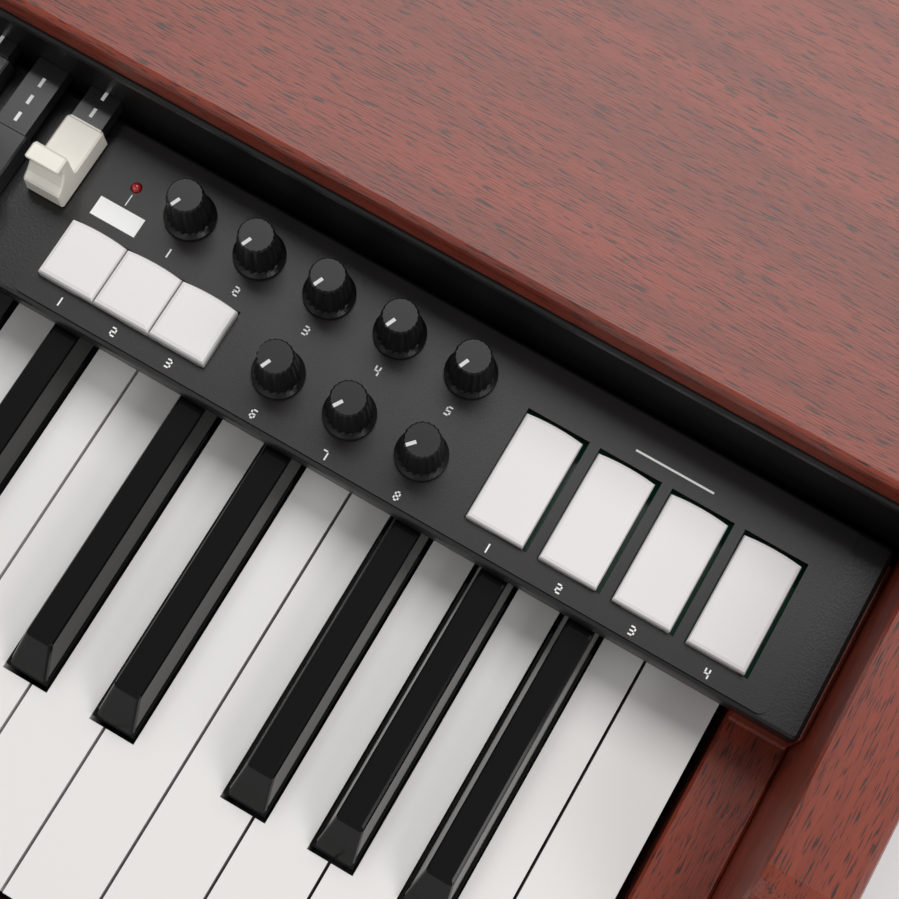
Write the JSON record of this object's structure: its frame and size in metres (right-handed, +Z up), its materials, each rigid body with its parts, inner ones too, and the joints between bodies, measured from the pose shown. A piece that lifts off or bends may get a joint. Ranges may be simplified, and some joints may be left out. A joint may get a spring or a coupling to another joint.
{
  "type": "electronic organ",
  "caption": "Single-manual drawbar organ: wooden case with a black control panel, drawbars, knobs, percussion tabs, preset buttons and sprung waterfall keys.",
  "frame": {"origin": "middle of the footprint, on the surface it stands on", "axes": "+X to the player's right along the keys, +Y to the back, +Z up"},
  "size_m": [0.9386, 0.38, 0.119],
  "materials": {
    "ebony": "glossy",
    "ivory": "satin",
    "knob_black": "satin",
    "white_cap": "glossy",
    "brown_cap": "satin",
    "cream_cap": "satin",
    "black_cap": "satin",
    "wood": "satin stain",
    "base": "matt paint",
    "black_steel": "fine satin texture",
    "grey_steel": "plain",
    "film": "satin",
    "green_board": "solder mask",
    "red_lens": "clear red",
    "switch_red": "glossy",
    "black_plastic": "matt"
  },
  "bodies": {
    "case": {"base_board": "base", "circuit_board": "green_board", "control_panel": "black_steel", "drawbar_chassis": "black_plastic", "front_rail": "wood", "indicator_lamp": "red_lens", "jack_strip": "black_plastic", "key_frame": "grey_steel", "left_cheek": "wood", "left_key_block": "wood", "main_board": "green_board", "mains_inlet": "black_plastic", "panel_overlay": "film", "rear_panel": "black_steel", "recess_wall": "black_steel", "right_cheek": "wood", "right_key_block": "wood", "wood_top": "wood"},
    "drawbar_1": {"drawbar_1": "brown_cap"},
    "drawbar_2": {"drawbar_2": "brown_cap"},
    "drawbar_3": {"drawbar_3": "cream_cap"},
    "drawbar_4": {"drawbar_4": "cream_cap"},
    "drawbar_5": {"drawbar_5": "black_cap"},
    "drawbar_6": {"drawbar_6": "cream_cap"},
    "drawbar_7": {"drawbar_7": "black_cap"},
    "drawbar_8": {"drawbar_8": "black_cap"},
    "drawbar_9": {"drawbar_9": "cream_cap"},
    "front_knob_1": {"front_knob_1": "knob_black"},
    "front_knob_2": {"front_knob_2": "knob_black"},
    "front_knob_3": {"front_knob_3": "knob_black"},
    "last_c_key": {"last_c_key": "ivory"},
    "octave_1_cegb_keys": {"octave_1_cegb_keys": "ivory"},
    "octave_1_dfa_keys": {"octave_1_dfa_keys": "ivory"},
    "octave_1_sharp_keys": {"octave_1_sharp_keys": "ebony"},
    "octave_2_cegb_keys": {"octave_2_cegb_keys": "ivory"},
    "octave_2_dfa_keys": {"octave_2_dfa_keys": "ivory"},
    "octave_2_sharp_keys": {"octave_2_sharp_keys": "ebony"},
    "octave_3_cegb_keys": {"octave_3_cegb_keys": "ivory"},
    "octave_3_dfa_keys": {"octave_3_dfa_keys": "ivory"},
    "octave_3_sharp_keys": {"octave_3_sharp_keys": "ebony"},
    "octave_4_cegb_keys": {"octave_4_cegb_keys": "ivory"},
    "octave_4_dfa_keys": {"octave_4_dfa_keys": "ivory"},
    "octave_4_sharp_keys": {"octave_4_sharp_keys": "ebony"},
    "octave_5_cegb_keys": {"octave_5_cegb_keys": "ivory"},
    "octave_5_dfa_keys": {"octave_5_dfa_keys": "ivory"},
    "octave_5_sharp_keys": {"octave_5_sharp_keys": "ebony"},
    "percussion_tab_1": {"percussion_tab_1": "white_cap"},
    "percussion_tab_2": {"percussion_tab_2": "white_cap"},
    "percussion_tab_3": {"percussion_tab_3": "white_cap"},
    "percussion_tab_4": {"percussion_tab_4": "white_cap"},
    "power_switch": {"power_switch": "switch_red"},
    "preset_button_1": {"preset_button_1": "white_cap"},
    "preset_button_2": {"preset_button_2": "white_cap"},
    "preset_button_3": {"preset_button_3": "white_cap"},
    "rear_knob_1": {"rear_knob_1": "knob_black"},
    "rear_knob_2": {"rear_knob_2": "knob_black"},
    "rear_knob_3": {"rear_knob_3": "knob_black"},
    "rear_knob_4": {"rear_knob_4": "knob_black"},
    "rear_knob_5": {"rear_knob_5": "knob_black"},
    "volume_knob": {"volume_knob": "knob_black"}
  },
  "joints": [
    {"name": "drawbar_1_joint", "type": "slide", "parent": "case", "child": "drawbar_1", "axis": [0, -1, 0], "range_m": [-0.032, 0]},
    {"name": "drawbar_2_joint", "type": "slide", "parent": "case", "child": "drawbar_2", "axis": [0, -1, 0], "range_m": [-0.032, 0]},
    {"name": "drawbar_3_joint", "type": "slide", "parent": "case", "child": "drawbar_3", "axis": [0, -1, 0], "range_m": [-0.032, 0]},
    {"name": "drawbar_4_joint", "type": "slide", "parent": "case", "child": "drawbar_4", "axis": [0, -1, 0], "range_m": [-0.016, 0.016]},
    {"name": "drawbar_5_joint", "type": "slide", "parent": "case", "child": "drawbar_5", "axis": [0, -1, 0], "range_m": [-0.008, 0.024]},
    {"name": "drawbar_6_joint", "type": "slide", "parent": "case", "child": "drawbar_6", "axis": [0, -1, 0], "range_m": [-0.012, 0.02]},
    {"name": "drawbar_7_joint", "type": "slide", "parent": "case", "child": "drawbar_7", "axis": [0, -1, 0], "range_m": [-0.004, 0.028]},
    {"name": "drawbar_8_joint", "type": "slide", "parent": "case", "child": "drawbar_8", "axis": [0, -1, 0], "range_m": [-0.0211, 0.0109]},
    {"name": "drawbar_9_joint", "type": "slide", "parent": "case", "child": "drawbar_9", "axis": [0, -1, 0], "range_m": [-0.0095, 0.0225]},
    {"name": "front_knob_1_joint", "type": "hinge", "parent": "case", "child": "front_knob_1", "pos_m": [0.27438, -0.0191, 0.0886], "axis": [0, 0, -1], "range_deg": [0, 300]},
    {"name": "front_knob_2_joint", "type": "hinge", "parent": "case", "child": "front_knob_2", "pos_m": [0.29697, -0.0191, 0.0886], "axis": [0, 0, -1], "range_deg": [-9, 291]},
    {"name": "front_knob_3_joint", "type": "hinge", "parent": "case", "child": "front_knob_3", "pos_m": [0.31956, -0.0191, 0.0886], "axis": [0, 0, -1], "range_deg": [-20, 280]},
    {"name": "last_c_key_joint", "type": "hinge", "parent": "case", "child": "last_c_key", "pos_m": [0, 0.011, 0.048], "axis": [1, 0, 0], "range_deg": [0, 3.2], "stiffness_Nm_per_rad": 1.5, "springref_deg": -3.44},
    {"name": "octave_1_cegb_keys_joint", "type": "hinge", "parent": "case", "child": "octave_1_cegb_keys", "pos_m": [0, 0.011, 0.048], "axis": [1, 0, 0], "range_deg": [0, 3.2], "stiffness_Nm_per_rad": 5, "springref_deg": -3.44},
    {"name": "octave_1_dfa_keys_joint", "type": "hinge", "parent": "case", "child": "octave_1_dfa_keys", "pos_m": [0, 0.011, 0.048], "axis": [1, 0, 0], "range_deg": [0, 3.2], "stiffness_Nm_per_rad": 5, "springref_deg": -3.44},
    {"name": "octave_1_sharp_keys_joint", "type": "hinge", "parent": "case", "child": "octave_1_sharp_keys", "pos_m": [0, 0.011, 0.048], "axis": [1, 0, 0], "range_deg": [0, 3.2], "stiffness_Nm_per_rad": 5, "springref_deg": -3.44},
    {"name": "octave_2_cegb_keys_joint", "type": "hinge", "parent": "case", "child": "octave_2_cegb_keys", "pos_m": [0, 0.011, 0.048], "axis": [1, 0, 0], "range_deg": [0, 3.2], "stiffness_Nm_per_rad": 5, "springref_deg": -3.44},
    {"name": "octave_2_dfa_keys_joint", "type": "hinge", "parent": "case", "child": "octave_2_dfa_keys", "pos_m": [0, 0.011, 0.048], "axis": [1, 0, 0], "range_deg": [0, 3.2], "stiffness_Nm_per_rad": 5, "springref_deg": -3.44},
    {"name": "octave_2_sharp_keys_joint", "type": "hinge", "parent": "case", "child": "octave_2_sharp_keys", "pos_m": [0, 0.011, 0.048], "axis": [1, 0, 0], "range_deg": [0, 3.2], "stiffness_Nm_per_rad": 5, "springref_deg": -3.44},
    {"name": "octave_3_cegb_keys_joint", "type": "hinge", "parent": "case", "child": "octave_3_cegb_keys", "pos_m": [0, 0.011, 0.048], "axis": [1, 0, 0], "range_deg": [0, 3.2], "stiffness_Nm_per_rad": 5, "springref_deg": -3.44},
    {"name": "octave_3_dfa_keys_joint", "type": "hinge", "parent": "case", "child": "octave_3_dfa_keys", "pos_m": [0, 0.011, 0.048], "axis": [1, 0, 0], "range_deg": [0, 3.2], "stiffness_Nm_per_rad": 5, "springref_deg": -3.44},
    {"name": "octave_3_sharp_keys_joint", "type": "hinge", "parent": "case", "child": "octave_3_sharp_keys", "pos_m": [0, 0.011, 0.048], "axis": [1, 0, 0], "range_deg": [0, 3.2], "stiffness_Nm_per_rad": 5, "springref_deg": -3.44},
    {"name": "octave_4_cegb_keys_joint", "type": "hinge", "parent": "case", "child": "octave_4_cegb_keys", "pos_m": [0, 0.011, 0.048], "axis": [1, 0, 0], "range_deg": [0, 3.2], "stiffness_Nm_per_rad": 5, "springref_deg": -3.44},
    {"name": "octave_4_dfa_keys_joint", "type": "hinge", "parent": "case", "child": "octave_4_dfa_keys", "pos_m": [0, 0.011, 0.048], "axis": [1, 0, 0], "range_deg": [0, 3.2], "stiffness_Nm_per_rad": 5, "springref_deg": -3.44},
    {"name": "octave_4_sharp_keys_joint", "type": "hinge", "parent": "case", "child": "octave_4_sharp_keys", "pos_m": [0, 0.011, 0.048], "axis": [1, 0, 0], "range_deg": [0, 3.2], "stiffness_Nm_per_rad": 5, "springref_deg": -3.44},
    {"name": "octave_5_cegb_keys_joint", "type": "hinge", "parent": "case", "child": "octave_5_cegb_keys", "pos_m": [0, 0.011, 0.048], "axis": [1, 0, 0], "range_deg": [0, 3.2], "stiffness_Nm_per_rad": 5, "springref_deg": -3.44},
    {"name": "octave_5_dfa_keys_joint", "type": "hinge", "parent": "case", "child": "octave_5_dfa_keys", "pos_m": [0, 0.011, 0.048], "axis": [1, 0, 0], "range_deg": [0, 3.2], "stiffness_Nm_per_rad": 5, "springref_deg": -3.44},
    {"name": "octave_5_sharp_keys_joint", "type": "hinge", "parent": "case", "child": "octave_5_sharp_keys", "pos_m": [0, 0.011, 0.048], "axis": [1, 0, 0], "range_deg": [0, 3.2], "stiffness_Nm_per_rad": 5, "springref_deg": -3.44},
    {"name": "percussion_tab_1_joint", "type": "hinge", "parent": "case", "child": "percussion_tab_1", "pos_m": [0.34759, 0.00596, 0.0835], "axis": [1, 0, 0], "range_deg": [0, 2.5], "stiffness_Nm_per_rad": 0.4, "springref_deg": -3.44},
    {"name": "percussion_tab_2_joint", "type": "hinge", "parent": "case", "child": "percussion_tab_2", "pos_m": [0.3699, 0.00596, 0.0835], "axis": [1, 0, 0], "range_deg": [0, 2.5], "stiffness_Nm_per_rad": 0.4, "springref_deg": -3.44},
    {"name": "percussion_tab_3_joint", "type": "hinge", "parent": "case", "child": "percussion_tab_3", "pos_m": [0.39221, 0.00596, 0.0835], "axis": [1, 0, 0], "range_deg": [0, 2.5], "stiffness_Nm_per_rad": 0.4, "springref_deg": -3.44},
    {"name": "percussion_tab_4_joint", "type": "hinge", "parent": "case", "child": "percussion_tab_4", "pos_m": [0.41452, 0.00596, 0.0835], "axis": [1, 0, 0], "range_deg": [0, 2.5], "stiffness_Nm_per_rad": 0.4, "springref_deg": -3.44},
    {"name": "power_switch_joint", "type": "hinge", "parent": "case", "child": "power_switch", "pos_m": [-0.2625, 0.1803, 0.062], "axis": [1, 0, 0], "range_deg": [-14, 0]},
    {"name": "preset_button_1_joint", "type": "slide", "parent": "case", "child": "preset_button_1", "axis": [0, 0, -1], "range_m": [0, 0.0015], "stiffness_N_per_m": 400, "springref_m": -0.001},
    {"name": "preset_button_2_joint", "type": "slide", "parent": "case", "child": "preset_button_2", "axis": [0, 0, -1], "range_m": [0, 0.0015], "stiffness_N_per_m": 400, "springref_m": -0.001},
    {"name": "preset_button_3_joint", "type": "slide", "parent": "case", "child": "preset_button_3", "axis": [0, 0, -1], "range_m": [0, 0.0015], "stiffness_N_per_m": 400, "springref_m": -0.001},
    {"name": "rear_knob_1_joint", "type": "hinge", "parent": "case", "child": "rear_knob_1", "pos_m": [0.2292, 0.0078, 0.0886], "axis": [0, 0, -1], "range_deg": [0, 300]},
    {"name": "rear_knob_2_joint", "type": "hinge", "parent": "case", "child": "rear_knob_2", "pos_m": [0.25179, 0.0078, 0.0886], "axis": [0, 0, -1], "range_deg": [0, 300]},
    {"name": "rear_knob_3_joint", "type": "hinge", "parent": "case", "child": "rear_knob_3", "pos_m": [0.27438, 0.0078, 0.0886], "axis": [0, 0, -1], "range_deg": [0, 300]},
    {"name": "rear_knob_4_joint", "type": "hinge", "parent": "case", "child": "rear_knob_4", "pos_m": [0.29697, 0.0078, 0.0886], "axis": [0, 0, -1], "range_deg": [0, 300]},
    {"name": "rear_knob_5_joint", "type": "hinge", "parent": "case", "child": "rear_knob_5", "pos_m": [0.31956, 0.0078, 0.0886], "axis": [0, 0, -1], "range_deg": [0, 300]},
    {"name": "volume_knob_joint", "type": "hinge", "parent": "case", "child": "volume_knob", "pos_m": [-0.4323, 0.0078, 0.0886], "axis": [0, 0, -1], "range_deg": [-190, 110]}
  ]
}
